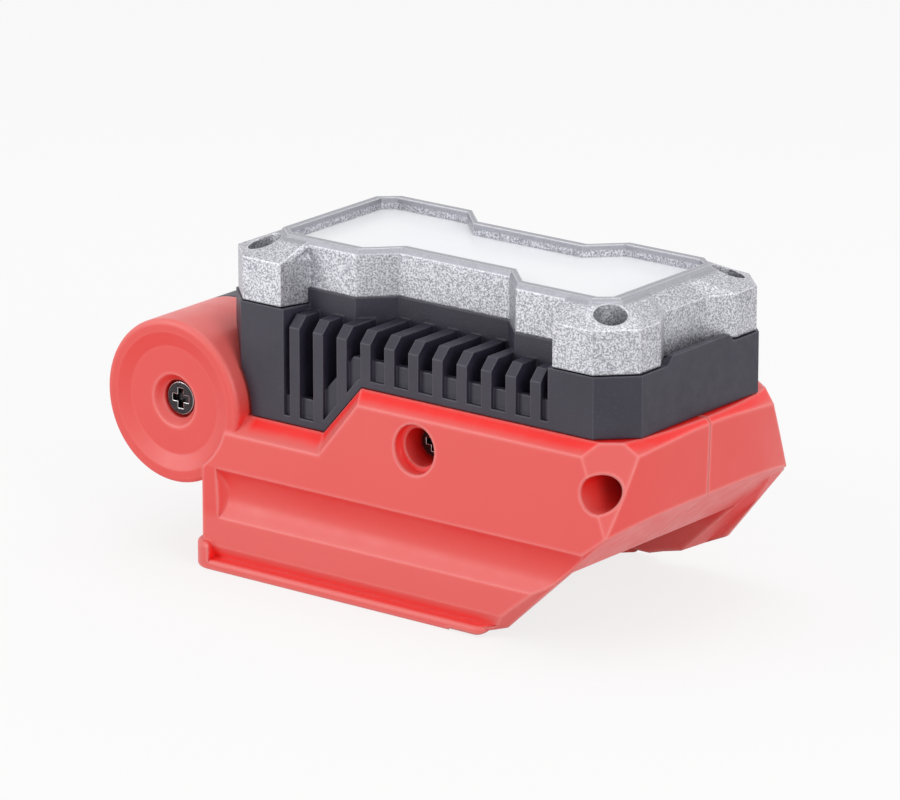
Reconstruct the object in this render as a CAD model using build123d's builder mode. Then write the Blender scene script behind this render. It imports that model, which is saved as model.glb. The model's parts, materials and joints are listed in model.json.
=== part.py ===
"""Slide-on battery adapter with USB outlets and a tilting flood light.

Millimetres. +X points to the nose, -Y is the plain side, +Z is up. The origin is
the middle of the footprint, on the plane that the foot stands on. Lengths along
the adapter are measured from the axis of the hinge barrel.
"""
import os
from math import atan2, cos, hypot, sin, tan

from build123d import *

os.makedirs("parts", exist_ok=True)

# Overall size
barrel_r = 19.6
nose_reach = 129.1
hinge_height = 38.2
shoulder_w = 67.0
ridge_w = 70.4
foot_w = 72.0
wall = 2.6

# Levels of the base, above the foot
low_deck = 37.6
high_deck = 50.2
ridge_height = 25.0
channel_ceiling = 19.0
shoulder_drop = 3.0
shelf_w = 3.2

# Lengths of the base, from the hinge axis
skirt_rear = 8.1
skirt_corner_r = 4.7
step_foot = 42.2
step_top = 53.2
nose_bow = 3.0
nose_mid_bow = 0.9
nose_lean = 0.6
nose_bevel = 1.2
nose_face_low = 32.3
foot_front = 93.7

# Nose corner facets: two points on the shoulder line and the apex under them
facet_side = 118.0
facet_front = 128.2
facet_front_y = 25.8
facet_apex = 125.6
facet_apex_height = 29.6

# Ends of the skirts under the nose: slanted back on the near half, a guard on the far half
slant_back = 4.2
guard_foot = 4.8
guard_height = 9.3
guard_top = 28.4
guard_reach = 5.2
guard_face = 2.3
guard_back = 2.0
guard_run = 10.0
guard_lift = 3.0

# Finger scoop and foot lip along each skirt
band_w = 69.4
scoop_rear = 14.1
scoop_depth = 2.3
scoop_round = 3.0
scoop_foot = 12.9
band_foot = 5.9
lip_t = 2.5
lip_groove = 1.3
lip_rear = 2.0
lip_front = 92.5
lip_corner_r = 5.5
lip_front_r = 2.5
lip_round = 0.8
lip_bead = 6.5
bead_l = 6.0
bead_round = 1.0

# Battery channel, open at the nose
channel_w = 57.0
rail_gap = 50.0
rail_t = 4.6
channel_rear = 11.2
mouth_w = 62.4
mouth_rear = 72.0
mouth_low = 0.6
mouth_high = 2.4
catch_x = 66.0
catch_l = 10.0
catch_h = 7.0
catch_depth = 2.6
cavity_w = 60.0
cavity_rear = 22.8

# Fits
seam_gap = 0.2
swing_gap = 0.6
deck_gap = 0.3
shaft_fit = 0.05
screw_fit = 0.15
slot_fit = 0.1
seat_gap = 0.3

# Hinge
barrel_round = 1.2
knuckle_out = 34.1
knuckle_in = 10.0
eye_w = 19.0
shaft_r = 4.0
shaft_l = 44.0
washer_r = 8.0
washer_t = 0.9
dish_rim_r = 16.6
dish_flat_r = 13.0
dish_depth = 1.0
hinge_cone_r = 6.4
hinge_bore_r = 4.6
hinge_cone_depth = 1.8
hinge_head_r = 3.9
hinge_head_h = 2.4
hinge_screw_r = 1.75
hinge_screw_l = 15.0
cross_depth = 1.4
cross_reach = 0.62
cross_t = 0.42
hinge_seat = 28.4
hinge_web_r = 2.0

# Light head, placed by its middle
head_middle = 68.1
head_l = 116.4
head_w = 60.0
head_chamfer = 7.8
head_low = low_deck + deck_gap
head_high = high_deck + deck_gap
panel_top = 64.8
core_top = 68.5
arc_gap = 1.1
arm_front = 26.0

# Dog-bone outline shared by the core and the bezel: half lengths and half widths
waist_half_l = 15.7
wide_half_l = 22.8
corner_half_l = 43.6
end_half_l = 49.0
waist_half_w = 15.0
wide_half_w = 22.0
end_half_w = 17.2
core_step = 0.4

# Cooling fins in the side troughs
fin_count = 11
fin_pitch = 6.9
fin_t = 2.8
fin_first = -36.0
fin_top = 63.5
fin_bevel = 2.6
trough_half_l = 37.9
trough_foot_half_l = 35.9
trough_floor = 1.8
web_top = 6.5
web_t = 1.6
web_inset = 1.0
end_lip_t = 1.6
end_lip_w = 21.4
end_lip_h = 1.9

# Bezel
bezel_top = 79.8
rim_bevel_h = 1.3
rim_bevel = 0.9
rim_w = 1.7
boss_gap = 0.3
boss_inset = 0.7
boss_shoulder = 75.3
boss_near_l = 38.9
boss_far_l = 50.0
boss_end_w = 14.5
recess_half_l = 53.6
recess_half_w = 8.0
bezel_wall = 0.9

# Bezel screws, one in each boss
bolt_half_l = 49.4
bolt_half_w = 22.4
bolt_bore_r = 3.85
bolt_head_r = 3.4
bolt_head_h = 2.4
bolt_r = 1.75
bolt_l = 12.0
bolt_seat = 69.0

# Light engine
board_t = 1.6
lens_t = 2.0
lens_sink = 2.9
gasket_t = 0.8
gasket_w = 1.6
led_rows = 3
led_columns = 9
led_pitch_x = 9.6
led_pitch_y = 8.0
led_size = 3.0
led_h = 0.8
pocket_floor = 56.0
pocket_margin = 3.2
driver_l = 46.0
driver_w = 18.0
driver_h = 5.0

# Base screws: one at mid length and one in the nose
mid_screw = 71.4
mid_screw_height = 40.1
mid_mouth_r = 5.8
mid_mouth_depth = 3.4
mid_bore_r = 4.6
nose_screw = 122.4
nose_screw_height = 39.2
nose_bore_r = 4.3
mid_seat = 24.0
nose_seat = 17.0
pilot_margin = 4.0
base_head_r = 3.6
base_head_h = 2.6
base_screw_r = 1.5
base_screw_l = 34.0
boss_r = 6.4
nose_wall = 16.5
clearance_r = 1.9

# Converter board and what stands on it
board_rear = 24.0
board_front = 110.0
board_w = 54.0
board_height = 26.6
rib_t = 2.0
rib_y = 21.0

coil_x = 48.0
coil_y = -6.0
coil_r = 6.4
coil_h = 5.8
capacitor_count = 2
capacitor_x = 86.0
capacitor_pitch = 11.0
capacitor_y = -16.0
capacitor_r = 4.0
capacitor_h = 11.0
chip_places = ((50.0, 12.0), (62.0, -18.0), (86.0, 2.0))
chip_l = 6.0
chip_w = 5.0
chip_h = 1.6

# Battery terminals
block_l = 19.0
block_w = 42.0
block_foot = 6.0
tower_rear = 24.0
tower_l = 6.0
tower_h = 4.0
blade_count = 4
blade_pitch = 11.0
blade_t = 0.8
blade_reach = 13.0
blade_foot = 9.0
blade_h = 6.5
tail_margin = 1.2
tail_l = 3.2

# USB outlets and power button, in the far wall
outlet_sink = 0.5
usb_a_x = 88.5
usb_a_w = 13.1
usb_a_h = 5.7
usb_a_l = 14.0
usb_c_x = 102.0
usb_c_w = 8.94
usb_c_h = 3.26
usb_c_l = 7.35
shell_t = 0.3
tongue_l = 9.0
tongue_h = 1.8
insert_l = 29.0
insert_h = 9.6
insert_corner = 2.0
insert_flange = 1.4
insert_flange_t = 1.2
button_x = 60.0
button_r = 4.6
button_flange_r = 5.6
button_flange_t = 1.2
button_proud = 0.9
button_travel = 0.8
button_gap = 0.3
plunger_r = 1.4
plunger_l = 3.3
switch_size = 6.0
switch_l = 5.0
switch_gap = 0.8

# Derived places
length = barrel_r + nose_reach
hinge_x = barrel_r - length / 2
head_x = hinge_x + head_middle
step_angle = atan2(high_deck - low_deck, step_top - step_foot)
slope = nose_face_low / (nose_reach - nose_lean - foot_front)
nose_top = high_deck - nose_bevel
board_top = board_height + board_t
led_board_top = core_top + board_t
lens_top = bezel_top - lens_sink
lens_bottom = lens_top - lens_t
cavity_floor = channel_ceiling + wall
cavity_front = nose_reach - nose_wall
inner_y = shoulder_w / 2 - shelf_w
outer_y = foot_w / 2
outer_drop = shoulder_drop * (outer_y - inner_y) / shelf_w
usb_a_height = board_top + usb_a_h / 2
usb_c_height = board_top + usb_c_h / 2
insert_x = (usb_a_x + usb_c_x) / 2
insert_height = usb_a_height
button_height = board_top + switch_size / 2
insert_seat = cavity_w / 2


def along(distance):
    """X of a point, from its distance to the hinge axis."""
    return hinge_x + distance


def side_half_w(height):
    """Half width of the drafted base side at a height."""
    share = (high_deck - shoulder_drop - height) / (high_deck - shoulder_drop - ridge_height)
    return shoulder_w / 2 + share * (ridge_w - shoulder_w) / 2


def deck_line(drop, rear):
    """Stepped deck line of the base, moved square to itself by drop."""
    shift = drop * tan(step_angle / 2)
    return [
        (along(rear), low_deck - drop),
        (along(step_foot) + shift, low_deck - drop),
        (along(step_top) + shift, high_deck - drop),
    ]


def slope_x(height, back=0.0):
    """X of the sloped underside of the nose at a height, moved back square to it."""
    return along(foot_front) + (height - back * hypot(1, slope)) / slope


def base_side(drop):
    """Side outline of the base with its deck lowered by drop, uncut at the nose."""
    return deck_line(drop, skirt_rear) + [
        (along(nose_reach), high_deck - drop),
        (along(nose_reach), 0),
        (along(skirt_rear), 0),
    ]


def nose_front(tip, middle_bow, side_bow):
    """Outline in plan of all that lies in front of a bowed line across the nose."""
    Spline(
        (tip - side_bow, -outer_y),
        (tip - middle_bow, -facet_front_y),
        (tip, 0),
        (tip - middle_bow, facet_front_y),
        (tip - side_bow, outer_y),
    )
    Polyline((tip - side_bow, outer_y), (length, outer_y), (length, -outer_y), (tip - side_bow, -outer_y))


def facet_plane(side, *points):
    """Outward plane through three points that are given for the far side."""
    a, b, c = (Vector(x, side * y, z) for x, y, z in points)
    return Plane(origin=a, x_dir=b - a, z_dir=(b - a).cross(c - a) * side)


def mirrored(points):
    """Close an outline that is the same left and right of its middle."""
    return points + [(-x, y) for x, y in reversed(points)]


def four_fold(quarter):
    """Close an outline from its quarter, listed from the waist to the end."""
    half = quarter + [(x, -y) for x, y in reversed(quarter)]
    return half + [(-x, -y) for x, y in half]


def dog_bone(grow=0.0):
    """Quarter of the dog-bone outline, with its sides moved out by grow."""
    return [
        (waist_half_l, waist_half_w + grow),
        (wide_half_l, wide_half_w + grow),
        (corner_half_l, wide_half_w + grow),
        (end_half_l + grow, end_half_w),
    ]


def head_level(height):
    """Plan plane of the light head at a height, with its origin in the head's middle."""
    return Plane((head_x, 0, height))


def bar(x, height, radius, start, end, mode=Mode.ADD):
    """Join a round bar along Y to the open part, or cut it out."""
    with Locations((x, (start + end) / 2, height)):
        Cylinder(radius, abs(end - start), rotation=(90, 0, 0), mode=mode)


def cross_recess(x, height, face, head_r, inward):
    """Cut the cross recess of a screw whose head faces along Y."""
    with Locations((x, face + inward * cross_depth / 2, height)):
        Box(2 * cross_reach * head_r, cross_depth, cross_t * head_r, mode=Mode.SUBTRACT)
        Box(cross_t * head_r, cross_depth, 2 * cross_reach * head_r, mode=Mode.SUBTRACT)


hinge_axis = Axis((hinge_x, 0, hinge_height), (0, 1, 0))
hinge_plane = Plane((hinge_x, 0, hinge_height))

# Bead across the rear end of the lip
lip_start = along(skirt_rear - lip_rear)
with BuildPart() as bead:
    with BuildSketch(Plane.XY.offset(lip_t / 2)):
        with Locations((lip_start, 0)):
            Rectangle(bead_l, foot_w, align=(Align.MIN, Align.CENTER))
        fillet(vertices().group_by(Axis.X)[0], lip_corner_r)
    extrude(amount=lip_bead - lip_t / 2)
    fillet(faces().sort_by(Axis.Z)[-1].edges(), bead_round)

# Lip round the foot
with BuildPart() as foot:
    with BuildSketch(Plane.XY):
        with Locations((lip_start, 0)):
            Rectangle(along(lip_front) - lip_start, foot_w, align=(Align.MIN, Align.CENTER))
        fillet(vertices().group_by(Axis.X)[0], lip_corner_r)
        fillet(vertices().group_by(Axis.X)[-1], lip_front_r)
    extrude(amount=lip_t)
    fillet(edges().group_by(Axis.Z)[0] + edges().group_by(Axis.Z)[-1], lip_round)
    add(bead.part)

# Cutter for the finger scoop on the near side, rounded at its rear end
with BuildPart() as scoop:
    band_y = -band_w / 2
    ridge_y = -ridge_w / 2
    with BuildSketch(Plane.YZ.offset(along(scoop_rear))):
        with BuildLine():
            middle = (ridge_height + scoop_foot) / 2
            ThreePointArc((ridge_y, ridge_height), (ridge_y + scoop_depth, middle), (band_y, scoop_foot))
            Polyline(
                (band_y, scoop_foot),
                (-foot_w, scoop_foot),
                (-foot_w, ridge_height),
                (ridge_y, ridge_height),
            )
        make_face()
    extrude(amount=length)
    with BuildSketch(Plane.XY):
        with BuildLine():
            deep = ridge_y + scoop_depth + slot_fit
            start = along(scoop_rear)
            Polyline((start, deep), (length, deep), (length, -foot_w), (start, -foot_w), close=True)
        make_face()
        fillet(vertices().group_by(Axis.X)[0].sort_by(Axis.Y)[-1], scoop_round)
    extrude(amount=high_deck, mode=Mode.INTERSECT)

# Cutter for the groove above the lip on the near side
with BuildPart() as groove:
    with BuildSketch(Plane.YZ.offset(along(skirt_rear - lip_rear + bead_l))):
        with BuildLine():
            Polyline(
                (band_y, band_foot),
                (band_y + lip_groove, lip_t + lip_groove / 3),
                (band_y, lip_t),
                (-foot_w, lip_t),
                (-foot_w, band_foot),
                close=True,
            )
        make_face()
    extrude(amount=length)

# Mouth of the battery channel, flared in plan and under the skirts
with BuildPart() as mouth:
    with BuildSketch(Plane.YZ.offset(along(mouth_rear))):
        with BuildLine():
            half = [
                (outer_y, -lip_t),
                (outer_y, mouth_low),
                (mouth_w / 2, mouth_high),
                (mouth_w / 2, channel_ceiling),
            ]
            Polyline(mirrored(half), close=True)
        make_face()
    extrude(amount=length)
    with BuildSketch(Plane.XY.offset(channel_ceiling)):
        with BuildLine():
            start = along(mouth_rear)
            flare = [(start, rail_gap / 2), (start + (foot_w - rail_gap) / 2, outer_y), (length, outer_y)]
            Polyline(flare + [(x, -y) for x, y in reversed(flare)], close=True)
        make_face()
    extrude(amount=-channel_ceiling - lip_t, mode=Mode.INTERSECT)

# Battery channel with its inward rails and the two catch pockets
with BuildPart() as channel:
    with BuildSketch(Plane.YZ.offset(along(channel_rear))):
        with BuildLine():
            half = [
                (rail_gap / 2, -lip_t),
                (rail_gap / 2, rail_t),
                (channel_w / 2, rail_t + (channel_w - rail_gap) / 4),
                (channel_w / 2, channel_ceiling),
            ]
            Polyline(mirrored(half), close=True)
        make_face()
    extrude(amount=length)
    with Locations((along(catch_x), 0, channel_ceiling - catch_h)):
        Box(catch_l, channel_w + 2 * catch_depth, catch_h)
    add(mouth.part)

# Housing, both halves in one: side outline, drafted section and bowed plan
with BuildPart() as housing:
    with BuildSketch(Plane.XZ):
        with BuildLine():
            Polyline(base_side(0), close=True)
        make_face()
    extrude(amount=inner_y, both=True)
    for side in (-1, 1):
        with BuildSketch(Plane.XZ.offset(side * inner_y)):
            with BuildLine():
                Polyline(base_side(0), close=True)
            make_face()
        with BuildSketch(Plane.XZ.offset(side * outer_y)):
            with BuildLine():
                Polyline(base_side(outer_drop), close=True)
            make_face()
        loft(ruled=True)
    with BuildSketch(Plane.YZ.offset(-length)):
        with BuildLine():
            top = (side_half_w(high_deck), high_deck)
            half = [(band_w / 2, 0), (band_w / 2, scoop_foot), (ridge_w / 2, ridge_height), top]
            Polyline(mirrored(half), close=True)
        make_face()
    extrude(amount=2 * length, mode=Mode.INTERSECT)
    with BuildSketch(Plane.XY):
        with Locations((along(skirt_rear), 0)):
            Rectangle(length, foot_w, align=(Align.MIN, Align.CENTER))
        fillet(vertices().group_by(Axis.X)[0], skirt_corner_r)
    extrude(amount=2 * high_deck, mode=Mode.INTERSECT)
    with BuildSketch(Plane.XY.offset(nose_top)):
        with BuildLine():
            nose_front(along(nose_reach), nose_mid_bow, nose_bow)
        make_face()
    lean = Vector(-nose_lean, 0, nose_face_low - nose_top)
    extrude(amount=2 * lean.length, dir=lean, mode=Mode.SUBTRACT)
    shoulder_top = high_deck - shoulder_drop
    with BuildSketch(Plane.XY.offset(shoulder_top)):
        with BuildLine():
            rise = nose_top - shoulder_top
            side_bow = nose_bow + rise * (outer_y / facet_front_y) ** 2
            nose_front(along(nose_reach) + rise, nose_mid_bow + rise, side_bow)
        make_face()
    extrude(amount=2 * shoulder_drop, dir=(-1, 0, 1), mode=Mode.SUBTRACT)
    apex = (along(facet_apex), side_half_w(facet_apex_height), facet_apex_height)
    nose_corner = (
        (along(facet_side), shoulder_w / 2, shoulder_top),
        (along(facet_front), facet_front_y, shoulder_top),
        apex,
    )
    skirt_end = (
        (along(foot_front), mouth_w / 2, 0),
        (along(foot_front - slant_back), band_w / 2, 0),
        apex,
    )
    for side, points in ((-1, nose_corner), (1, nose_corner), (-1, skirt_end)):
        with BuildSketch(facet_plane(side, *points)):
            Rectangle(length, length)
        extrude(amount=foot_w, mode=Mode.SUBTRACT)
    add(foot.part)
    for cutter in (scoop, groove):
        add(cutter.part, mode=Mode.SUBTRACT)
        add(cutter.part.mirror(Plane.XZ), mode=Mode.SUBTRACT)
    with BuildSketch(Plane.XZ):
        with BuildLine():
            Polyline(
                (slope_x(-wall), -wall),
                (slope_x(high_deck), high_deck),
                (length, high_deck),
                (length, -wall),
                close=True,
            )
        make_face()
    extrude(amount=foot_w, both=True, mode=Mode.SUBTRACT)
    with BuildSketch(hinge_plane):
        Rectangle(barrel_r, 2 * knuckle_out, align=(Align.MIN, Align.CENTER))
        fillet(vertices().group_by(Axis.X)[-1], barrel_round)
    revolve(axis=hinge_axis)
    add(channel.part, mode=Mode.SUBTRACT)
    with BuildSketch(Plane.XZ):
        with BuildLine():
            roof = deck_line(wall, cavity_rear)
            end = along(cavity_front)
            Polyline(
                roof + [(end, roof[-1][1]), (end, cavity_floor), (roof[0][0], cavity_floor)],
                close=True,
            )
        make_face()
    extrude(amount=cavity_w / 2, both=True, mode=Mode.SUBTRACT)
    with Locations((along(mid_screw), 0, mid_screw_height)):
        Cylinder(boss_r, cavity_w, rotation=(90, 0, 0))
    rib_h = board_height - cavity_floor
    rib_l = cavity_front - step_foot
    with Locations((along(step_foot + rib_l / 2), 0, cavity_floor + rib_h / 2)):
        with GridLocations(1, 2 * rib_y, 1, 2):
            Box(rib_l, rib_t, rib_h)
    with Locations((hinge_x, 0, hinge_height)):
        Cylinder(barrel_r + swing_gap, 2 * knuckle_in, rotation=(90, 0, 0), mode=Mode.SUBTRACT)
        Cylinder(shaft_r + shaft_fit, shaft_l + seam_gap, rotation=(90, 0, 0), mode=Mode.SUBTRACT)
        Cylinder(hinge_web_r, 2 * knuckle_out, rotation=(90, 0, 0), mode=Mode.SUBTRACT)
    for side in (-1, 1):
        with BuildSketch(hinge_plane):
            with BuildLine():
                face = knuckle_out - dish_depth
                Polyline(
                    (0, side * (knuckle_out + wall)),
                    (dish_rim_r, side * (knuckle_out + wall)),
                    (dish_rim_r, side * knuckle_out),
                    (dish_flat_r, side * face),
                    (hinge_cone_r, side * face),
                    (hinge_bore_r, side * (face - hinge_cone_depth)),
                    (hinge_bore_r, side * hinge_seat),
                    (0, side * hinge_seat),
                    close=True,
                )
            make_face()
        revolve(axis=hinge_axis, mode=Mode.SUBTRACT)
    with Locations((along(tower_rear + tower_l / 2), 0, channel_ceiling + wall / 2)):
        Box(tower_l + 2 * slot_fit, block_w + 2 * slot_fit, wall, mode=Mode.SUBTRACT)

# Near half, with the recesses that the screw heads sit in
with BuildPart() as housing_near:
    add(housing.part)
    split(bisect_by=Plane.XZ.offset(seam_gap / 2), keep=Keep.TOP)
    mid = (along(mid_screw), mid_screw_height)
    front = (along(nose_screw), nose_screw_height)
    bar(*mid, mid_mouth_r, -outer_y, mid_mouth_depth - ridge_w / 2, Mode.SUBTRACT)
    bar(*mid, mid_bore_r, -outer_y, -mid_seat, Mode.SUBTRACT)
    bar(*front, nose_bore_r, -outer_y, -nose_seat, Mode.SUBTRACT)
    for place in (mid, front):
        bar(*place, clearance_r, -outer_y, 0, Mode.SUBTRACT)
housing_near.part.label = "housing_near"

# Guard on the end of the far skirt: a slanted end face and a proud strip outside it
with BuildPart() as guard:
    guard_x = slope_x(guard_foot)
    with BuildSketch(Plane.XY.offset(guard_foot)):
        with BuildLine():
            Polyline(
                (guard_x - guard_back, mouth_w / 2),
                (guard_x, mouth_w / 2),
                (guard_x + guard_face, band_w / 2),
                (guard_x + guard_reach, band_w / 2),
                (guard_x + guard_reach, outer_y),
                (guard_x - guard_back, outer_y),
                close=True,
            )
        make_face()
    extrude(amount=(guard_top - guard_foot) * hypot(1, slope) / slope, dir=(1, 0, slope))
    with BuildSketch(Plane.XZ.offset(-outer_y)):
        with BuildLine():
            Polyline(
                (guard_x - guard_back, guard_foot),
                (guard_x, guard_foot),
                (slope_x(guard_height) + guard_reach, guard_height),
                (slope_x(guard_top), guard_top),
                (slope_x(guard_top) - guard_back, guard_top),
                close=True,
            )
        make_face()
    extrude(amount=outer_y, mode=Mode.INTERSECT)

# Far half, with pilot holes, the outlet window and the button hole
with BuildPart() as housing_far:
    add(housing.part)
    split(bisect_by=Plane.XZ.offset(-seam_gap / 2), keep=Keep.BOTTOM)
    for place, seat in ((mid, mid_seat), (front, nose_seat)):
        bar(*place, base_screw_r + screw_fit, 0, base_screw_l - seat + pilot_margin, Mode.SUBTRACT)
    bar(along(button_x), button_height, button_r + button_gap, board_w / 2, outer_y, Mode.SUBTRACT)
    with BuildSketch(Plane.XZ.offset(-outer_y)):
        with Locations((along(insert_x), insert_height)):
            RectangleRounded(insert_l + 2 * slot_fit, insert_h + 2 * slot_fit, insert_corner)
    extrude(amount=outer_y - board_w / 2, mode=Mode.SUBTRACT)
    add(guard.part)
    with BuildSketch(Plane.XZ):
        with BuildLine():
            Polyline(
                (along(foot_front - guard_run), mouth_low),
                (along(foot_front), mouth_low + guard_lift),
                (guard_x, guard_foot),
                (guard_x, -lip_t),
                close=True,
            )
        make_face()
    extrude(amount=-foot_w, mode=Mode.SUBTRACT)
housing_far.part.label = "housing_far"

# Screws that pull the two halves together
with BuildPart() as housing_screws:
    for place, seat in ((mid, mid_seat), (front, nose_seat)):
        bar(*place, base_head_r, -seat - base_head_h, -seat)
        bar(*place, base_screw_r, -seat, base_screw_l - seat)
        cross_recess(*place, -seat - base_head_h, base_head_r, 1)
housing_screws.part.label = "housing_screws"

# Hinge shaft, bored at both ends for the hinge screws
with BuildPart() as hinge_shaft:
    eye = (hinge_x, hinge_height)
    bar(*eye, shaft_r, -shaft_l / 2, shaft_l / 2)
    chamfer(edges().filter_by(GeomType.CIRCLE), shaft_r / 10)
    for side in (-1, 1):
        bored = side * (hinge_seat - hinge_screw_l - screw_fit)
        bar(*eye, hinge_screw_r + shaft_fit, bored, side * shaft_l / 2, Mode.SUBTRACT)
hinge_shaft.part.label = "hinge_shaft"

with BuildPart() as hinge_screws:
    for side in (-1, 1):
        face = side * (hinge_seat + hinge_head_h)
        bar(*eye, hinge_head_r, side * hinge_seat, face)
        bar(*eye, hinge_screw_r, side * (hinge_seat - hinge_screw_l), side * hinge_seat)
        cross_recess(*eye, face, hinge_head_r, -side)
hinge_screws.part.label = "hinge_screws"

# Friction washers between the knuckles
with BuildPart() as hinge_washers:
    for side in (-1, 1):
        bar(*eye, washer_r, side * (knuckle_in - washer_t), side * knuckle_in)
    bar(*eye, shaft_r + shaft_fit, -knuckle_in, knuckle_in, Mode.SUBTRACT)
hinge_washers.part.label = "hinge_washers"

# Terminal block at the closed end of the channel, and its blades
block_rear = channel_rear + slot_fit
block_front = block_rear + block_l
tail_rear = tower_rear + tail_margin
blade_places = [(i - (blade_count - 1) / 2) * blade_pitch for i in range(blade_count)]


with BuildPart() as terminal_blades:
    with BuildSketch(*[Plane.XZ.offset(place - blade_t / 2) for place in blade_places]):
        with BuildLine():
            tip = along(block_front + blade_reach)
            nip = blade_h / 5
            Polyline(
                (along(tail_rear), blade_foot),
                (along(tail_rear), board_top + nip / 2),
                (along(tail_rear + tail_l), board_top + nip / 2),
                (along(tail_rear + tail_l), blade_foot + blade_h),
                (tip - nip, blade_foot + blade_h),
                (tip, blade_foot + blade_h - nip),
                (tip, blade_foot + nip),
                (tip - nip, blade_foot),
                close=True,
            )
        make_face()
    extrude(amount=blade_t)
terminal_blades.part.label = "terminal_blades"

with BuildPart() as terminal_block:
    with BuildSketch(Plane.XZ):
        with BuildLine():
            tower_top = cavity_floor + tower_h - wall
            Polyline(
                (along(block_rear), block_foot),
                (along(block_rear), channel_ceiling),
                (along(tower_rear), channel_ceiling),
                (along(tower_rear), tower_top),
                (along(tower_rear + tower_l), tower_top),
                (along(tower_rear + tower_l), channel_ceiling),
                (along(block_front), channel_ceiling),
                (along(block_front), block_foot),
                close=True,
            )
        make_face()
    extrude(amount=block_w / 2, both=True)
    chamfer(faces().sort_by(Axis.Z)[0].edges(), block_foot / 6)
    for place in blade_places:
        with Locations((along(tail_rear + tail_l / 2), place, (blade_foot + board_top) / 2)):
            Box(tail_l, blade_t + slot_fit, board_top - blade_foot, mode=Mode.SUBTRACT)
        with Locations((along((tail_rear + block_front) / 2), place, blade_foot + blade_h / 2)):
            Box(block_front - tail_rear, blade_t + slot_fit, blade_h, mode=Mode.SUBTRACT)
terminal_block.part.label = "terminal_block"

# Converter board on its ribs, slotted for the blade tails
with BuildPart() as main_board:
    board_l = board_front - board_rear
    with Locations((along(board_rear + board_l / 2), 0, board_height + board_t / 2)):
        Box(board_l, board_w, board_t)
    for place in blade_places:
        with Locations((along(tail_rear + tail_l / 2), place, board_height + board_t / 2)):
            Box(tail_l + slot_fit, blade_t + slot_fit, board_t, mode=Mode.SUBTRACT)
main_board.part.label = "main_board"

with BuildPart() as power_inductor:
    with Locations((along(coil_x), coil_y, board_top)):
        Box(2 * coil_r, 2 * coil_r, coil_h / 6, align=(Align.CENTER, Align.CENTER, Align.MIN))
        Cylinder(coil_r, coil_h, align=(Align.CENTER, Align.CENTER, Align.MIN))
    fillet(faces().sort_by(Axis.Z)[-1].edges(), coil_h / 6)
power_inductor.part.label = "power_inductor"

with BuildPart() as capacitors:
    for i in range(capacitor_count):
        with Locations((along(capacitor_x + i * capacitor_pitch), capacitor_y, board_top)):
            Cylinder(capacitor_r, capacitor_h, align=(Align.CENTER, Align.CENTER, Align.MIN))
    fillet(faces().group_by(Axis.Z)[-1].edges(), capacitor_r / 8)
capacitors.part.label = "capacitors"

with BuildPart() as converter_chips:
    for x, y in chip_places:
        with Locations((along(x), y, board_top)):
            Box(chip_l, chip_w, chip_h, align=(Align.CENTER, Align.CENTER, Align.MIN))
converter_chips.part.label = "converter_chips"

# USB outlets: metal shells with their tongues, in a black insert in the wall
outlet_face = side_half_w(insert_height) - outlet_sink
shell_front = outlet_face - seat_gap
with BuildPart() as usb_a_shell:
    with BuildSketch(Plane.XZ.offset(-shell_front)):
        with Locations((along(usb_a_x), usb_a_height)):
            RectangleRounded(usb_a_w, usb_a_h, shell_t)
            RectangleRounded(usb_a_w - 2 * shell_t, usb_a_h - 2 * shell_t, shell_t / 2, mode=Mode.SUBTRACT)
    extrude(amount=usb_a_l)
    with BuildSketch(Plane.XZ.offset(usb_a_l - shell_front)):
        with Locations((along(usb_a_x), usb_a_height)):
            RectangleRounded(usb_a_w, usb_a_h, shell_t)
    extrude(amount=-shell_t)
usb_a_shell.part.label = "usb_a_shell"

with BuildPart() as usb_a_tongue:
    with BuildSketch(Plane.XZ.offset(usb_a_l - shell_t - shell_front)):
        with Locations((along(usb_a_x), usb_a_height + usb_a_h / 2 - 2 * shell_t - tongue_h / 2)):
            Rectangle(usb_a_w - 4 * shell_t, tongue_h)
    extrude(amount=-tongue_l)
usb_a_tongue.part.label = "usb_a_tongue"

with BuildPart() as usb_c_shell:
    with BuildSketch(Plane.XZ.offset(-shell_front)):
        with Locations((along(usb_c_x), usb_c_height)):
            SlotOverall(usb_c_w, usb_c_h)
            SlotOverall(usb_c_w - 2 * shell_t, usb_c_h - 2 * shell_t, mode=Mode.SUBTRACT)
    extrude(amount=usb_c_l)
    with BuildSketch(Plane.XZ.offset(usb_c_l - shell_front)):
        with Locations((along(usb_c_x), usb_c_height)):
            SlotOverall(usb_c_w, usb_c_h)
    extrude(amount=-shell_t)
usb_c_shell.part.label = "usb_c_shell"

with BuildPart() as usb_c_tongue:
    with BuildSketch(Plane.XZ.offset(usb_c_l - shell_t - shell_front)):
        with Locations((along(usb_c_x), usb_c_height)):
            Rectangle(usb_c_w - 2 * usb_c_h / 3, usb_c_h / 5)
    extrude(amount=-usb_c_l * 2 / 3)
usb_c_tongue.part.label = "usb_c_tongue"

with BuildPart() as port_insert:
    with BuildSketch(Plane.XZ.offset(-outlet_face)):
        with Locations((along(insert_x), insert_height)):
            RectangleRounded(insert_l, insert_h, insert_corner)
    extrude(amount=outlet_face - insert_seat)
    with BuildSketch(Plane.XZ.offset(-insert_seat)):
        with Locations((along(insert_x), insert_height)):
            RectangleRounded(insert_l + 2 * insert_flange, insert_h + 2 * insert_flange, insert_corner)
    extrude(amount=insert_flange_t)
    with BuildSketch(Plane.XZ.offset(-outlet_face)):
        with Locations((along(usb_a_x), usb_a_height)):
            RectangleRounded(usb_a_w + slot_fit, usb_a_h + slot_fit, shell_t)
        with Locations((along(usb_c_x), usb_c_height)):
            SlotOverall(usb_c_w + slot_fit, usb_c_h + slot_fit)
    extrude(amount=outlet_face - board_w / 2, mode=Mode.SUBTRACT)
port_insert.part.label = "port_insert"

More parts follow.
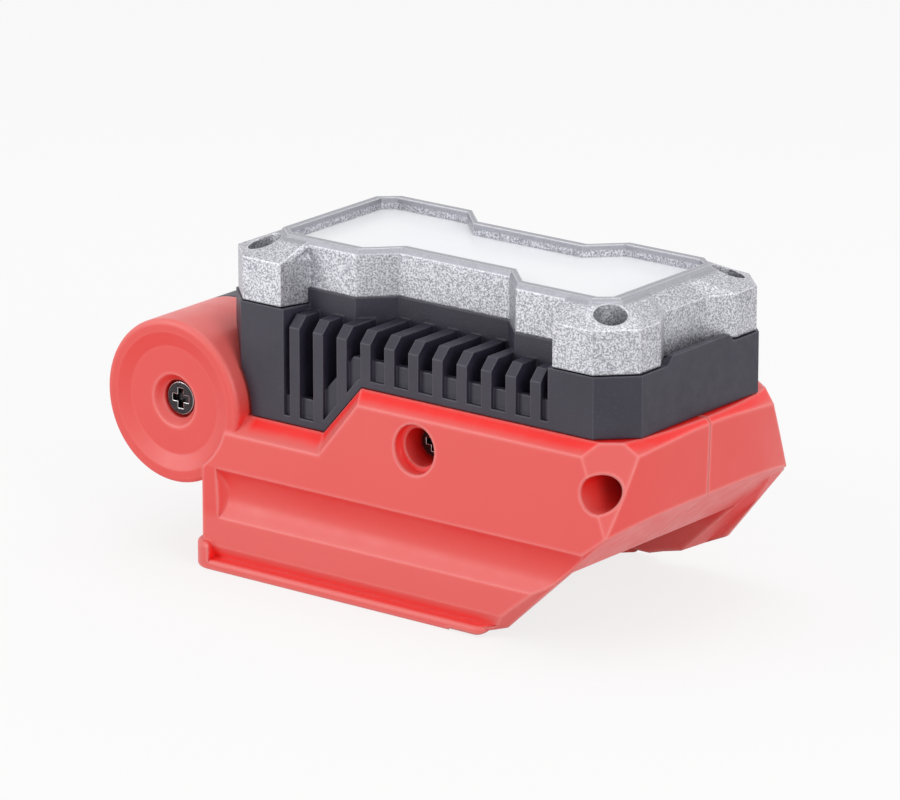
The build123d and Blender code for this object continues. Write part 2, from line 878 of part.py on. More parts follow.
# Power button with its plunger, and the switch that it presses
button = (along(button_x), button_height)
flange_front = insert_seat - button_gap
flange_back = flange_front - button_flange_t
with BuildPart() as power_button:
    bar(*button, button_r, flange_front, side_half_w(button_height) + button_proud)
    fillet(edges().group_by(Axis.Y)[-1], button_proud / 2)
    bar(*button, button_flange_r, flange_back, flange_front)
power_button.part.label = "power_button"

with BuildPart() as switch_plunger:
    bar(*button, plunger_r, flange_back - plunger_l, flange_back)
switch_plunger.part.label = "switch_plunger"

with BuildPart() as button_switch:
    switch_front = flange_back - button_travel - switch_gap
    with Locations((button[0], switch_front - switch_l / 2, button_height)):
        Box(switch_size, switch_l, switch_size)
    hole_end = flange_back - plunger_l - button_travel - button_gap
    bar(*button, plunger_r + button_gap, hole_end, switch_front, Mode.SUBTRACT)
button_switch.part.label = "button_switch"

# Light head, set out from the middle of its plan
head_start = head_middle - head_l / 2
head_front = head_x + head_l / 2
head_rear = head_x - head_l / 2

# Side troughs: stepped like the underside, and as deep as the dog-bone outline
with BuildPart() as troughs:
    with BuildSketch(Plane.XZ):
        with BuildLine():
            floor_line = deck_line(-deck_gap - trough_floor, head_start)
            roof = [(head_front, floor_line[-1][1]), (head_front, bezel_top), (head_rear, bezel_top)]
            Polyline(floor_line + roof, close=True)
        make_face()
    extrude(amount=foot_w, both=True)
    with BuildSketch(head_level(0)):
        for side in (-1, 1):
            with BuildLine():
                half = dog_bone(core_step)[:2] + [
                    (trough_foot_half_l, wide_half_w + core_step),
                    (trough_half_l, head_w / 2),
                    (trough_half_l, foot_w),
                ]
                Polyline([(x, side * y) for x, y in mirrored(half)], close=True)
            make_face()
    extrude(amount=bezel_top, mode=Mode.INTERSECT)

# Low webs that join the fins along their foot
with BuildPart() as webs:
    with BuildSketch(Plane.XZ):
        with BuildLine():
            web_start = head_middle - trough_half_l
            web_end = head_x + trough_half_l
            low_line = deck_line(-deck_gap, web_start)
            web_line = deck_line(-deck_gap - web_top, web_start)
            ends = [(web_end, low_line[-1][1]), (web_end, web_line[-1][1])]
            Polyline(low_line + ends + web_line[::-1], close=True)
        make_face()
    web_y = head_w / 2 - web_inset
    extrude(amount=web_y, both=True)
    with Locations((head_x, 0, head_high)):
        Box(head_l, 2 * (web_y - web_t), head_w, mode=Mode.SUBTRACT)

# Fins across the troughs, cut to the underside of the head
with BuildPart() as fins:
    fin_places = [head_x + fin_first + i * fin_pitch for i in range(fin_count)]
    with BuildSketch(*[Plane.YZ.offset(place) for place in fin_places]):
        with BuildLine():
            half = [
                (head_w / 2, 0),
                (head_w / 2, fin_top - fin_bevel),
                (head_w / 2 - fin_bevel, fin_top),
            ]
            Polyline(mirrored(half), close=True)
        make_face()
    extrude(amount=fin_t)
    with BuildSketch(Plane.XZ):
        with BuildLine():
            bottom_line = deck_line(-deck_gap, head_start)
            roof = [(head_front, bottom_line[-1][1]), (head_front, core_top), (head_rear, core_top)]
            Polyline(bottom_line + roof, close=True)
        make_face()
    extrude(amount=head_w, both=True, mode=Mode.INTERSECT)

# Heat sink: stepped tray with chamfered corners, core, fins and hinge eye
with BuildPart() as heatsink:
    with BuildSketch(Plane.XZ):
        with BuildLine():
            roof = [(head_front, bottom_line[-1][1]), (head_front, panel_top), (head_rear, panel_top)]
            Polyline(bottom_line + roof, close=True)
        make_face()
    extrude(amount=head_w / 2, both=True)
    with BuildSketch(head_level(0)):
        with BuildLine():
            corner = [
                (head_l / 2 - head_chamfer, head_w / 2),
                (head_l / 2, head_w / 2 - head_chamfer),
            ]
            Polyline(four_fold(corner), close=True)
        make_face()
    extrude(amount=bezel_top, mode=Mode.INTERSECT)
    add(troughs.part, mode=Mode.SUBTRACT)
    with BuildSketch(head_level(head_high + trough_floor)):
        with BuildLine():
            Polyline(four_fold(dog_bone(core_step)), close=True)
        make_face()
    extrude(amount=core_top - head_high - trough_floor)
    add(fins.part)
    add(webs.part)
    for side in (-1, 1):
        with BuildSketch(Plane.YZ.offset(head_x + side * head_l / 2)):
            with BuildLine():
                half = [(end_lip_w / 2, panel_top + end_lip_h), (end_lip_w / 2 + end_lip_h, panel_top)]
                Polyline(mirrored(half), close=True)
            make_face()
        extrude(amount=-side * end_lip_t)
    with Locations((hinge_x, 0, hinge_height)):
        Cylinder(barrel_r + arc_gap, foot_w, rotation=(90, 0, 0), mode=Mode.SUBTRACT)
        Cylinder(barrel_r, eye_w, rotation=(90, 0, 0))
    with BuildSketch(Plane.XZ):
        with BuildLine():
            Polyline(
                (head_rear, hinge_height),
                (head_rear, panel_top),
                (along(arm_front), panel_top),
                (along(arm_front), head_low),
                (along(barrel_r) - arc_gap, head_low),
                (along(barrel_r) - arc_gap, hinge_height),
                close=True,
            )
        make_face()
    extrude(amount=eye_w / 2, both=True)
    with BuildSketch(head_level(core_top)):
        with BuildLine():
            Polyline(four_fold(dog_bone(-pocket_margin)), close=True)
        make_face()
    extrude(amount=pocket_floor - core_top, mode=Mode.SUBTRACT)
    bar(*eye, shaft_r + shaft_fit, -eye_w, eye_w, Mode.SUBTRACT)
    for side in (-1, 1):
        recess_y = side * (knuckle_in - washer_t - seat_gap)
        bar(*eye, washer_r + seat_gap, recess_y, side * knuckle_in, Mode.SUBTRACT)
    with Locations(head_level(panel_top)):
        with GridLocations(2 * bolt_half_l, 2 * bolt_half_w, 2, 2):
            Hole(bolt_r + screw_fit, bolt_seat - panel_top + bolt_l)
heatsink.part.label = "heatsink"

# Cast bezel: mid ring with a bevelled rim, and four faceted corner bosses
with BuildPart() as bezel:
    rim_foot = bezel_top - rim_bevel_h
    with BuildSketch(head_level(core_top)):
        with BuildLine():
            Polyline(four_fold(dog_bone()), close=True)
        make_face()
    extrude(amount=rim_foot - core_top)
    for level, inset in ((rim_foot, 0), (bezel_top, rim_bevel)):
        with BuildSketch(head_level(level)):
            with BuildLine():
                Polyline(four_fold(dog_bone(-inset)), close=True)
            make_face()
    loft(ruled=True)
    boss_w = head_w / 2 - seat_gap
    boss_half_l = head_l / 2 - boss_inset
    boss_cut = boss_w - (boss_half_l - boss_far_l)
    inset = rim_bevel + seat_gap
    foot_half = [
        (trough_foot_half_l, wide_half_w - inset),
        (boss_near_l, boss_w),
        (boss_far_l, boss_w),
        (boss_half_l, boss_cut),
        (boss_half_l, boss_end_w),
        (recess_half_l, recess_half_w),
    ]
    top_half = [
        (trough_foot_half_l, wide_half_w - 2 * inset),
        (trough_foot_half_l + inset, wide_half_w - inset),
        (corner_half_l - inset, wide_half_w - inset),
        (end_half_l - inset, end_half_w - inset),
        (end_half_l - inset, boss_end_w - inset),
        (end_half_l - inset, recess_half_w),
    ]
    for side in (-1, 1):
        foot_outline = [(side * x, y) for x, y in foot_half + [(x, -y) for x, y in reversed(foot_half)]]
        top_outline = [(side * x, y) for x, y in top_half + [(x, -y) for x, y in reversed(top_half)]]
        with BuildSketch(head_level(panel_top + boss_gap)):
            with BuildLine():
                Polyline(foot_outline, close=True)
            make_face()
        extrude(amount=boss_shoulder - panel_top - boss_gap)
        with BuildSketch(head_level(boss_shoulder)):
            with BuildLine():
                Polyline(foot_outline, close=True)
            make_face()
        with BuildSketch(head_level(bezel_top - seat_gap)):
            with BuildLine():
                Polyline(top_outline, close=True)
            make_face()
        loft(ruled=True)
    with BuildSketch(head_level(panel_top)):
        with BuildLine():
            Polyline(four_fold(dog_bone(core_step + slot_fit)), close=True)
        make_face()
    extrude(amount=core_top - panel_top, mode=Mode.SUBTRACT)
    with BuildSketch(head_level(core_top)):
        with BuildLine():
            Polyline(four_fold(dog_bone(-rim_bevel - bezel_wall)), close=True)
        make_face()
    extrude(amount=lens_top - core_top, mode=Mode.SUBTRACT)
    with BuildSketch(head_level(core_top)):
        with BuildLine():
            Polyline(four_fold(dog_bone(-rim_bevel - rim_w)), close=True)
        make_face()
    extrude(amount=bezel_top - core_top, mode=Mode.SUBTRACT)
    with Locations(head_level(bezel_top)):
        with GridLocations(2 * bolt_half_l, 2 * bolt_half_w, 2, 2):
            CounterBoreHole(bolt_r + screw_fit, bolt_bore_r, bezel_top - bolt_seat, bezel_top - panel_top)
bezel.part.label = "bezel"

with BuildPart() as bezel_screws:
    with Locations(head_level(bolt_seat)):
        with GridLocations(2 * bolt_half_l, 2 * bolt_half_w, 2, 2):
            Cylinder(bolt_head_r, bolt_head_h, align=(Align.CENTER, Align.CENTER, Align.MIN))
            Cylinder(bolt_r, bolt_l, align=(Align.CENTER, Align.CENTER, Align.MAX))
    with Locations(head_level(bolt_seat + bolt_head_h - cross_depth / 2)):
        with GridLocations(2 * bolt_half_l, 2 * bolt_half_w, 2, 2):
            Box(2 * cross_reach * bolt_head_r, cross_t * bolt_head_r, cross_depth, mode=Mode.SUBTRACT)
            Box(cross_t * bolt_head_r, 2 * cross_reach * bolt_head_r, cross_depth, mode=Mode.SUBTRACT)
bezel_screws.part.label = "bezel_screws"

# Light engine, stacked inside the bezel
stack_inset = rim_bevel + bezel_wall + slot_fit
with BuildPart() as led_board:
    with BuildSketch(head_level(core_top)):
        with BuildLine():
            Polyline(four_fold(dog_bone(-stack_inset)), close=True)
        make_face()
    extrude(amount=board_t)
led_board.part.label = "led_board"

with BuildPart() as leds:
    with Locations(head_level(led_board_top)):
        with GridLocations(led_pitch_x, led_pitch_y, led_columns, led_rows):
            Box(led_size, led_size, led_h, align=(Align.CENTER, Align.CENTER, Align.MIN))
leds.part.label = "leds"

gasket_bottom = lens_bottom - gasket_t
with BuildPart() as reflector:
    with BuildSketch(head_level(led_board_top)):
        with BuildLine():
            Polyline(four_fold(dog_bone(-stack_inset)), close=True)
        make_face()
    extrude(amount=gasket_bottom - led_board_top)
    for level, inset in ((led_board_top, 2 * gasket_w), (gasket_bottom, gasket_w)):
        with BuildSketch(head_level(level)):
            with BuildLine():
                Polyline(four_fold(dog_bone(-stack_inset - inset)), close=True)
            make_face()
    loft(ruled=True, mode=Mode.SUBTRACT)
reflector.part.label = "reflector"

with BuildPart() as lens_gasket:
    with BuildSketch(head_level(gasket_bottom)):
        for inset, mode in ((0, Mode.ADD), (gasket_w, Mode.SUBTRACT)):
            with BuildLine():
                Polyline(four_fold(dog_bone(-stack_inset - inset)), close=True)
            make_face(mode=mode)
    extrude(amount=gasket_t)
lens_gasket.part.label = "lens_gasket"

with BuildPart() as lens:
    with BuildSketch(head_level(lens_bottom)):
        with BuildLine():
            Polyline(four_fold(dog_bone(-stack_inset)), close=True)
        make_face()
    extrude(amount=lens_t)
lens.part.label = "lens"

with BuildPart() as led_driver:
    with Locations(head_level(pocket_floor)):
        Box(driver_l, driver_w, board_t, align=(Align.CENTER, Align.CENTER, Align.MIN))
        with GridLocations(driver_l / 3, 1, 3, 1):
            Box(driver_w / 2, driver_w / 2, driver_h, align=(Align.CENTER, Align.CENTER, Align.MIN))
led_driver.part.label = "led_driver"

pieces = [
    housing_near,
    housing_far,
    housing_screws,
    hinge_shaft,
    hinge_screws,
    hinge_washers,
    terminal_block,
    terminal_blades,
    main_board,
    power_inductor,
    capacitors,
    converter_chips,
    port_insert,
    usb_a_shell,
    usb_a_tongue,
    usb_c_shell,
    usb_c_tongue,
    button_switch,
    power_button,
    switch_plunger,
    heatsink,
    bezel,
    bezel_screws,
    led_board,
    leds,
    led_driver,
    reflector,
    lens_gasket,
    lens,
]
for piece in pieces:
    export_step(piece.part, f"parts/{piece.part.label}.step")
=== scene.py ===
"""Looks of the slide-on battery adapter: materials, floor, lights and camera.

Metres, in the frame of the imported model: +X to the nose, -Y to the camera, +Z up.
"""

import json
from math import cos, radians, sin

import bpy
from mathutils import Matrix, Vector


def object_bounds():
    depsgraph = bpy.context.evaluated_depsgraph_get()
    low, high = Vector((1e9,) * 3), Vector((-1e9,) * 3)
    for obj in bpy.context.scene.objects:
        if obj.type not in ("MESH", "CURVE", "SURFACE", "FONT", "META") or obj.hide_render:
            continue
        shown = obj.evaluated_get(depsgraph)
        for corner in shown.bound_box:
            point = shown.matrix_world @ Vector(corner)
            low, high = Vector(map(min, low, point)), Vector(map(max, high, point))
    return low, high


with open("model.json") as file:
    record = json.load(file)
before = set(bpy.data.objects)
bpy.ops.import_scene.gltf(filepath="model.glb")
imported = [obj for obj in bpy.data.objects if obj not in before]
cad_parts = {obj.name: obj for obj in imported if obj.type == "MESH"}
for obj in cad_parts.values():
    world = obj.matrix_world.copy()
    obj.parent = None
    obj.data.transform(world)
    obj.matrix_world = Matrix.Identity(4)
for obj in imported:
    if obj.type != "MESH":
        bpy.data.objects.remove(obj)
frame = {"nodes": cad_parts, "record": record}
cad_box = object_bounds()

# Camera, as fitted to the photograph
AZIMUTH = radians(37.86)
ELEVATION = radians(16.914)
DISTANCE = 1.5
AIM = Vector((0.02135, 0.0, 0.0505))
OFFSET_RIGHT = 0.016484
OFFSET_UP = 0.005689
LENS = 262.8
SENSOR = 36
FAR_CLIP = 20

# Steps of the red deck that the light head rests on, which bound the painted shade under the head
DECK_REAR = -0.034
DECK_LOW = 0.0376
DECK_HIGH = 0.0502
STEP_FOOT = -0.0126
STEP_TOP = -0.0016

# Height of the band along the foot of the base that a painted sheen makes paler
PAINTED_SHEEN_BAND_TOP = 0.012

# The bezel's rim is the model's highest place
RIM_TOP = cad_box[1][2]

# Levels at which a colour renders about as written
ROOM_LEVEL = 0.68
FLOOR_GREY = (0.80, 0.80, 0.80, 1)
FLOOR_WHITE_SHARE = 0.80
FLOOR_HALF = 6.0
LIGHT_AIM = Vector((0, 0, 0.04))
WHITE = (1, 1, 1, 1)


def make_camera():
    """A long lens at the photograph's angle."""
    back = Vector((
        sin(AZIMUTH) * cos(ELEVATION),
        -cos(AZIMUTH) * cos(ELEVATION),
        sin(ELEVATION),
    ))
    right = Vector((cos(AZIMUTH), sin(AZIMUTH), 0))
    up = back.cross(right)
    place = AIM - OFFSET_RIGHT * right - OFFSET_UP * up + DISTANCE * back
    data = bpy.data.cameras.new("camera")
    data.lens = LENS
    data.sensor_width = SENSOR
    data.clip_end = FAR_CLIP
    camera = bpy.data.objects.new("camera", data)
    turn = Matrix((right, up, back)).transposed().to_4x4()
    camera.matrix_world = Matrix.Translation(place) @ turn
    bpy.context.scene.collection.objects.link(camera)
    bpy.context.scene.camera = camera


def add_node(tree, kind, inputs=None, **settings):
    """New node with its settings, and with its inputs linked or set."""
    made = tree.nodes.new(kind)
    for key, value in settings.items():
        setattr(made, key, value)
    for key, value in (inputs or {}).items():
        if isinstance(value, bpy.types.NodeSocket):
            tree.links.new(value, made.inputs[key])
        else:
            made.inputs[key].default_value = value
    return made


def add_seen(tree):
    """1 for camera, glossy and transmission rays, 0 for the rays that light the object."""
    path = add_node(tree, "ShaderNodeLightPath").outputs
    pair = {0: path["Is Camera Ray"], 1: path["Is Glossy Ray"]}
    seen = add_node(tree, "ShaderNodeMath", pair, operation="MAXIMUM").outputs[0]
    pair = {0: seen, 1: path["Is Transmission Ray"]}
    return add_node(tree, "ShaderNodeMath", pair, operation="MAXIMUM").outputs[0]


def scaled(factor, colour):
    return tuple(factor * part for part in colour)


class Look:
    """A material with a Principled shader, and short calls for the nodes round it."""

    def __init__(self, name, **sockets):
        self.material = bpy.data.materials.new(name)
        self.material.use_nodes = True
        self.tree = self.material.node_tree
        self.shader = self.tree.nodes["Principled BSDF"]
        for key, value in sockets.items():
            self.shader.inputs[key.replace("_", " ")].default_value = value
        coordinates = self.node("ShaderNodeTexCoord")
        self.place = coordinates.outputs["Object"]
        self.facing = coordinates.outputs["Normal"]

    def node(self, kind, inputs=None, **settings):
        return add_node(self.tree, kind, inputs, **settings)

    def link(self, output, socket):
        self.tree.links.new(output, self.shader.inputs[socket])

    def noise(self, size, detail=2.0, roughness=0.5, stretch=(1, 1, 1)):
        """Noise whose blotches are about size metres across."""
        place = self.place
        if stretch != (1, 1, 1):
            stretched = {"Vector": place, "Scale": stretch}
            place = self.node("ShaderNodeMapping", stretched).outputs[0]
        inputs = {"Vector": place, "Scale": 1 / size, "Detail": detail, "Roughness": roughness}
        return self.node("ShaderNodeTexNoise", inputs).outputs[0]

    def cells(self, size):
        """Distance from the middles of scattered cells about size metres across."""
        inputs = {"Vector": self.place, "Scale": 1 / size}
        return self.node("ShaderNodeTexVoronoi", inputs).outputs["Distance"]

    def ramp(self, value, *stops):
        """Colour ramp through (position, colour) stops."""
        made = self.node("ShaderNodeValToRGB", {0: value})
        elements = made.color_ramp.elements
        while len(elements) < len(stops):
            elements.new(0.5)
        for element, (position, colour) in zip(elements, stops):
            element.position = position
            element.color = (*colour, 1)
        return made.outputs[0]

    def spread(self, value, low, high, start=0.3, end=0.7):
        """Map a value between start and end to low and high."""
        inputs = {0: value, 1: start, 2: end, 3: low, 4: high}
        return self.node("ShaderNodeMapRange", inputs).outputs[0]

    def mix(self, factor, a, b):
        made = self.node("ShaderNodeMix", {0: factor}, data_type="RGBA")
        for index, value in ((6, a), (7, b)):
            if isinstance(value, bpy.types.NodeSocket):
                self.tree.links.new(value, made.inputs[index])
            else:
                made.inputs[index].default_value = (*value, 1)
        return made.outputs[2]

    def maths(self, operation, a, b):
        return self.node("ShaderNodeMath", {0: a, 1: b}, operation=operation).outputs[0]

    def forward(self):
        return self.node("ShaderNodeSeparateXYZ", {0: self.place}).outputs[0]

    def height(self):
        return self.node("ShaderNodeSeparateXYZ", {0: self.place}).outputs[2]

    def upward(self):
        """1 on a face that looks up, 0 on a wall, -1 on one that looks down."""
        return self.node("ShaderNodeSeparateXYZ", {0: self.facing}).outputs[2]

    def rounded(self, radius):
        """Normal with the edges rounded by radius."""
        return self.node("ShaderNodeBevel", {"Radius": radius}, samples=6).outputs[0]

    def open_share(self, reach, alone=True, samples=6):
        """1 on open faces, less where this piece alone, or any piece, is closer than reach."""
        inputs = {"Distance": reach}
        settings = {"samples": samples, "only_local": alone}
        return self.node("ShaderNodeAmbientOcclusion", inputs, **settings).outputs["AO"]

    def painted_highlight_edge(self, radius, sharp=0.10):
        """1 along outer edges, where a painted highlight goes, and 0 on faces and in corners."""
        flat = self.node("ShaderNodeNewGeometry").outputs["Normal"]
        pair = {0: self.rounded(radius), 1: flat}
        made = self.node("ShaderNodeVectorMath", pair, operation="DOT_PRODUCT")
        bend = self.spread(made.outputs["Value"], 1, 0, 1 - sharp, 0.997)
        outer = self.spread(self.open_share(0.002), 0, 1, 0.80, 0.97)
        return self.maths("MULTIPLY", bend, outer)

    def relief(self, *layers, edge=0.0):
        """Bumps from (value, depth in metres, strength) layers, over edges rounded by edge."""
        normal = self.rounded(edge) if edge else None
        for value, depth, strength in layers:
            inputs = {"Height": value, "Distance": depth, "Strength": strength}
            if normal is not None:
                inputs["Normal"] = normal
            normal = self.node("ShaderNodeBump", inputs).outputs[0]
        self.link(normal, "Normal")


def make_red_plastic():
    """Moulded nylon blend: satin, with a fine grain and slow sink waves.

    A painted sheen makes faces that look up, and a band low on the sides, paler, and painted
    shade makes faces that look down deeper red. Painted shade also keeps hollows and the deck
    under the head deep red, and outer edges carry a painted highlight.
    """
    # Painted sheen and shade by facing: saturated red on faces that look down, paler red on faces
    # that look up
    faces = (
        (0.0, (0.720, 0.012, 0.008)),
        (0.5, (0.720, 0.074, 0.065)),
        (1.0, (0.735, 0.130, 0.118)),
    )
    clouded = (0.755, 0.095, 0.084)
    flecked = (0.80, 0.10, 0.09)
    # Colour of the painted shade in hollows and under the head
    painted_shade_red = (0.90, 0.012, 0.009)
    # Colour of the painted edge highlight
    painted_highlight_colour = (0.95, 0.30, 0.28)

    sheen = {"Specular_IOR_Level": 0.35, "Coat_Weight": 0.15, "Coat_Roughness": 0.30}
    look = Look("red_plastic", IOR=1.5, **sheen)
    # Painted sheen: paler as the face looks further up
    painted_sheen = look.spread(look.upward(), 0, 1, -0.5, 0.5)
    # Painted sheen: paler low on the sides, along the foot
    low = look.spread(look.height(), 0.85, 0, PAINTED_SHEEN_BAND_TOP, PAINTED_SHEEN_BAND_TOP + 0.005)
    painted_sheen = look.maths("MAXIMUM", painted_sheen, low)
    colour = look.ramp(painted_sheen, *faces)
    colour = look.mix(look.spread(look.noise(0.03, 3), 0, 0.3), colour, clouded)
    flecks = look.spread(look.noise(0.0009, 1), 0, 0.10, 0.62, 0.75)
    colour = look.mix(flecks, colour, flecked)

    # Painted shade: deep red in hollows of this piece
    painted_hollow_shade = look.spread(look.open_share(0.008), 1, 0, 0.35, 0.87)
    # Painted shade: deep red on the deck strip under the light head, where other pieces are close
    deck = look.spread(look.forward(), DECK_LOW, DECK_HIGH, STEP_FOOT, STEP_TOP)
    over_deck = look.maths("SUBTRACT", look.height(), deck)
    near_deck = look.spread(over_deck, 0, 0.95, -0.0034, -0.0014)
    ahead = look.spread(look.forward(), 0, 1, DECK_REAR, DECK_REAR + 0.002)
    covered = look.spread(look.open_share(0.012, alone=False, samples=16), 1, 0, 0.94, 0.99)
    painted_head_shade = look.maths("MULTIPLY", look.maths("MULTIPLY", near_deck, ahead), covered)
    colour = look.mix(look.maths("MAXIMUM", painted_hollow_shade, painted_head_shade), colour, painted_shade_red)

    # Painted highlight: pale pink lines along the outer edges
    edge = look.maths("MULTIPLY", look.painted_highlight_edge(0.0014, 0.06), 0.7)
    look.link(look.mix(edge, colour, painted_highlight_colour), "Base Color")
    look.link(look.spread(look.noise(0.004, 3), 0.34, 0.44), "Roughness")
    look.relief(
        (look.noise(0.02, 1), 0.0004, 0.25),
        (look.noise(0.00045, 2), 0.00003, 0.35),
        edge=0.0012,
    )
    return look.material


def make_black_casting():
    """Die casting under a fine black powder coat."""
    look = Look("black_casting", IOR=1.5)
    cloud = look.noise(0.012, 4)
    colour = look.ramp(cloud, (0.3, (0.017, 0.015, 0.028)), (0.7, (0.025, 0.022, 0.038)))
    grains = look.spread(look.noise(0.0005, 2), 0, 0.25, 0.58, 0.72)
    colour = look.mix(grains, colour, (0.065, 0.061, 0.082))
    # Painted highlight: lighter lines along the outer edges
    edge = look.maths("MULTIPLY", look.painted_highlight_edge(0.0005), 0.6)
    look.link(look.mix(edge, colour, (0.13, 0.125, 0.155)), "Base Color")
    look.link(look.spread(look.noise(0.003, 3), 0.40, 0.55), "Roughness")
    look.relief(
        (look.noise(0.006, 2), 0.0002, 0.25),
        (look.noise(0.0005, 3), 0.00006, 0.55),
        edge=0.0006,
    )
    return look.material


def make_silver_casting():
    """Bright cast alloy: coarse sparkling grain on the faces, smoother on the rim's top."""
    pit = (0.25, 0.25, 0.28)
    sparkle = (0.68, 0.68, 0.72)
    rim_dark = (0.34, 0.34, 0.375)
    rim_light = (0.50, 0.50, 0.54)
    painted_highlight_colour = (0.88, 0.88, 0.91)

    look = Look("silver_casting", Metallic=0.8, IOR=1.5)
    cloud = look.noise(0.010, 3)
    body = look.ramp(cloud, (0.3, (0.39, 0.39, 0.43)), (0.7, (0.45, 0.45, 0.49)))
    grain = look.noise(0.00042, 2, 0.6)
    cast = look.mix(look.spread(grain, 0.8, 0, 0.38, 0.48), body, pit)
    cast = look.mix(look.spread(grain, 0, 0.9, 0.48, 0.58), cast, sparkle)
    smooth = look.mix(look.spread(grain, 0, 0.3, 0.4, 0.7), rim_dark, rim_light)
    top = look.spread(look.height(), 0, 1, RIM_TOP - 0.0015, RIM_TOP - 0.0011)
    # Painted highlight: pale lines along the outer edges
    edge = look.maths("MULTIPLY", look.painted_highlight_edge(0.0005), 0.6)
    look.link(look.mix(edge, look.mix(top, cast, smooth), painted_highlight_colour), "Base Color")
    look.link(look.spread(look.noise(0.0015, 2), 0.38, 0.52), "Roughness")
    look.relief((look.noise(0.004, 2), 0.0002, 0.3), (grain, 0.00010, 0.6), edge=0.0006)
    return look.material


def make_frosted_lens():
    """Frosted diffuser, a little bluer in soft blotches."""
    look = Look("frosted_lens", IOR=1.49, Coat_Weight=0.4, Coat_Roughness=0.18, Roughness=0.5)
    cloud = look.noise(0.05, 2)
    colour = look.ramp(cloud, (0.35, (0.83, 0.85, 0.88)), (0.65, (0.87, 0.875, 0.885)))
    grain = look.spread(look.noise(0.0006, 2), 0, 0.2, 0.5, 0.7)
    look.link(look.mix(grain, colour, (0.88, 0.88, 0.89)), "Base Color")
    look.relief((look.noise(0.0005, 2), 0.00003, 0.35), edge=0.0003)
    return look.material


def make_metal(name, colour, bright, low, high, painted_glint=None):
    """Turned or rolled metal with fine level lines, and a painted glint colour on its edges if
    given.
    """
    look = Look(name, Metallic=1.0)
    lines = look.noise(0.0008, 4, 0.6, (1, 1, 8))
    stains = look.noise(0.004, 3)
    base = look.mix(look.spread(lines, 0, 1), colour, bright)
    base = look.mix(look.spread(stains, 0, 0.25), base, scaled(0.55, colour))
    if painted_glint:
        # Painted glint: a bright colour along the outer edges
        base = look.mix(look.painted_highlight_edge(0.00035), base, painted_glint)
    look.link(base, "Base Color")
    look.link(look.spread(lines, low, high), "Roughness")
    look.relief((lines, 0.00004, 0.4), edge=0.0003)
    return look.material


def make_plastic(name, dark, light, low, high, grain=0.0004):
    """Plain moulded plastic with an even fine grain."""
    look = Look(name, IOR=1.46)
    colour = look.ramp(look.noise(0.006, 3), (0.3, dark), (0.7, light))
    dust = look.spread(look.noise(0.0012, 2), 0, 0.15, 0.6, 0.75)
    look.link(look.mix(dust, colour, scaled(1.5, light)), "Base Color")
    look.link(look.spread(look.noise(0.002, 2), low, high), "Roughness")
    look.relief((look.noise(grain, 2), 0.00004, 0.4), edge=0.0003)
    return look.material


def make_circuit_board():
    """Solder mask over copper tracks, with bare pads."""
    look = Look("circuit_board", IOR=1.5, Coat_Weight=0.5, Coat_Roughness=0.12)
    level = {"Vector": look.place, "Scale": (1, 1, 0)}
    place = look.node("ShaderNodeMapping", level).outputs[0]
    bricks = {"Vector": place, "Scale": 160.0, "Mortar Size": 0.03, "Mortar Smooth": 0.2}
    tracks = look.node("ShaderNodeTexBrick", bricks).outputs["Fac"]
    cloud = look.noise(0.008, 2)
    mask = look.ramp(cloud, (0.3, (0.010, 0.120, 0.045)), (0.7, (0.016, 0.170, 0.062)))
    green = look.mix(tracks, mask, (0.045, 0.300, 0.110))
    pads = look.spread(look.cells(0.0045), 1, 0, 0.10, 0.13)
    look.link(look.mix(pads, green, (0.62, 0.55, 0.36)), "Base Color")
    look.link(look.maths("MULTIPLY", pads, 0.8), "Metallic")
    look.link(look.spread(look.noise(0.003, 2), 0.28, 0.40), "Roughness")
    look.relief((tracks, 0.00004, 0.5), (pads, 0.00003, 0.5))
    return look.material


def make_led_yellow():
    """Phosphor dome with a slightly uneven skin."""
    look = Look("led_yellow", IOR=1.45, Coat_Weight=0.6)
    cloud = look.noise(0.0008, 3)
    colour = look.ramp(cloud, (0.3, (0.86, 0.66, 0.12)), (0.7, (0.93, 0.80, 0.24)))
    look.link(colour, "Base Color")
    look.link(look.spread(look.noise(0.0006, 2), 0.35, 0.5), "Roughness")
    look.relief((look.noise(0.0004, 2), 0.00003, 0.4), edge=0.0003)
    return look.material


def make_floor():
    """Pale floor: mostly white to the camera and to reflections, and it keeps the shadow."""
    mesh = bpy.data.meshes.new("floor")
    corners = [(-1, -1), (1, -1), (1, 1), (-1, 1)]
    mesh.from_pydata([(FLOOR_HALF * x, FLOOR_HALF * y, 0) for x, y in corners], [], [(0, 1, 2, 3)])
    floor = bpy.data.objects.new("floor", mesh)
    bpy.context.scene.collection.objects.link(floor)
    material = bpy.data.materials.new("floor")
    material.use_nodes = True
    tree = material.node_tree
    tree.nodes.clear()
    plain = add_node(tree, "ShaderNodeBsdfDiffuse", {"Color": FLOOR_GREY})
    white = add_node(tree, "ShaderNodeEmission", {"Color": WHITE})
    pair = {0: add_seen(tree), 1: FLOOR_WHITE_SHARE}
    share = add_node(tree, "ShaderNodeMath", pair, operation="MULTIPLY")
    parts = {0: share.outputs[0], 1: plain.outputs[0], 2: white.outputs[0]}
    mix = add_node(tree, "ShaderNodeMixShader", parts)
    add_node(tree, "ShaderNodeOutputMaterial", {0: mix.outputs[0]})
    mesh.materials.append(material)


def make_world():
    """Pale surround that is white to the camera and to reflections."""
    world = bpy.data.worlds.new("studio")
    world.use_nodes = True
    tree = world.node_tree
    tree.nodes.clear()
    room = add_node(tree, "ShaderNodeBackground", {"Color": WHITE, "Strength": ROOM_LEVEL})
    white = add_node(tree, "ShaderNodeBackground", {"Color": WHITE, "Strength": 1.0})
    parts = {0: add_seen(tree), 1: room.outputs[0], 2: white.outputs[0]}
    mix = add_node(tree, "ShaderNodeMixShader", parts)
    add_node(tree, "ShaderNodeOutputWorld", {0: mix.outputs[0]})
    bpy.context.scene.world = world


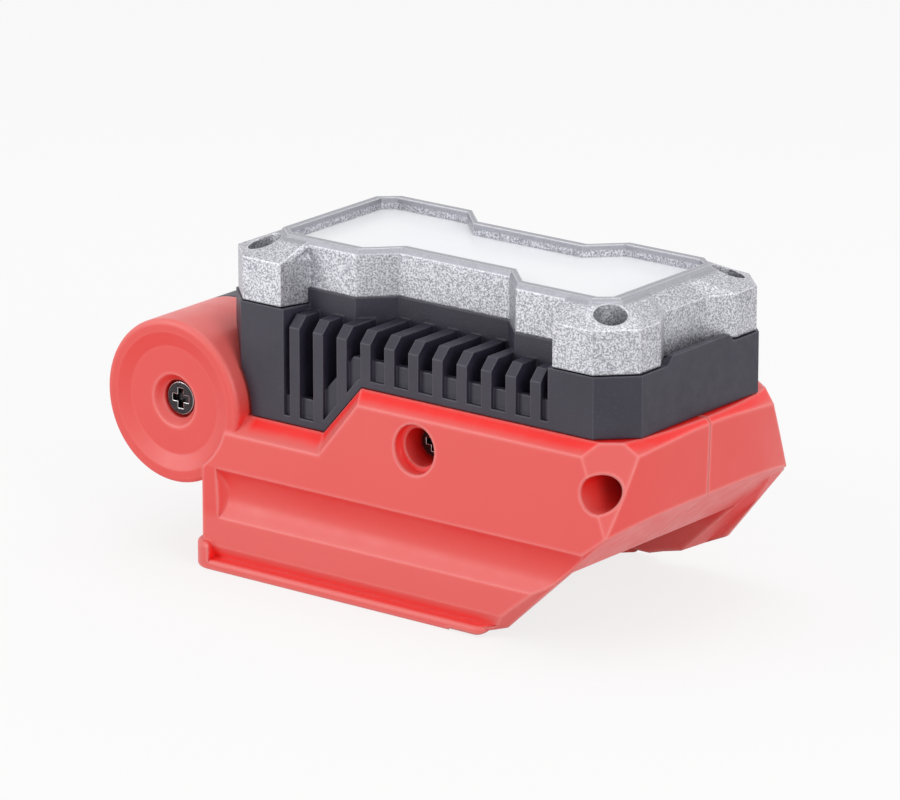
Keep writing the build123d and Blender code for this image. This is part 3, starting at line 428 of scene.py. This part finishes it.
def make_light(name, place, size, power):
    """Softbox that faces the object's middle."""
    data = bpy.data.lights.new(name, "AREA")
    data.shape = "RECTANGLE"
    data.size, data.size_y = size
    data.energy = power
    light = bpy.data.objects.new(name, data)
    turn = (LIGHT_AIM - Vector(place)).to_track_quat("-Z", "Y").to_matrix().to_4x4()
    light.matrix_world = Matrix.Translation(place) @ turn
    bpy.context.scene.collection.objects.link(light)


# Name, dark and bright colour, least and most roughness, colour of the painted glint on edges
METALS = (
    ("bright_steel", (0.50, 0.50, 0.52), (0.72, 0.72, 0.74), 0.20, 0.34),
    ("plated_brass", (0.62, 0.47, 0.20), (0.80, 0.66, 0.36), 0.18, 0.30),
    ("capacitor_can", (0.30, 0.31, 0.36), (0.46, 0.47, 0.52), 0.25, 0.40),
    ("black_steel", (0.030, 0.024, 0.026), (0.08, 0.07, 0.075), 0.16, 0.30, (0.86, 0.86, 0.87)),
)
# Name, dark and light colour, least and most roughness, size of the grain
PLASTICS = (
    ("black_plastic", (0.016, 0.016, 0.018), (0.028, 0.028, 0.031), 0.42, 0.58),
    ("white_plastic", (0.66, 0.66, 0.65), (0.76, 0.76, 0.75), 0.35, 0.50),
    ("dark_rubber", (0.014, 0.014, 0.015), (0.026, 0.026, 0.028), 0.62, 0.80, 0.0006),
)
MATERIALS = {
    "red_plastic": make_red_plastic(),
    "black_casting": make_black_casting(),
    "silver_casting": make_silver_casting(),
    "frosted_lens": make_frosted_lens(),
    "circuit_board": make_circuit_board(),
    "led_yellow": make_led_yellow(),
    **{row[0]: make_metal(*row) for row in METALS},
    **{row[0]: make_plastic(*row) for row in PLASTICS},
}

for entry in frame["record"]["subparts"]:
    slots = frame["nodes"][entry["node"]].data.materials
    slots.clear()
    slots.append(MATERIALS[entry["material_slot"]])

make_camera()
make_floor()
make_world()
make_light("left", (-0.60, -0.65, 0.50), size=(0.5, 0.4), power=1.4)
make_light("low left", (-0.50, -0.60, 0.10), size=(0.3, 0.2), power=1.0)
make_light("nose", (0.95, -0.42, 0.38), size=(0.4, 0.4), power=3.3)
make_light("back", (0.55, 0.60, 0.40), size=(0.4, 0.4), power=0.3)
make_light("top", (0.0, 0.10, 0.90), size=(0.6, 0.5), power=1.8)
bpy.context.scene.view_settings.view_transform = "Standard"
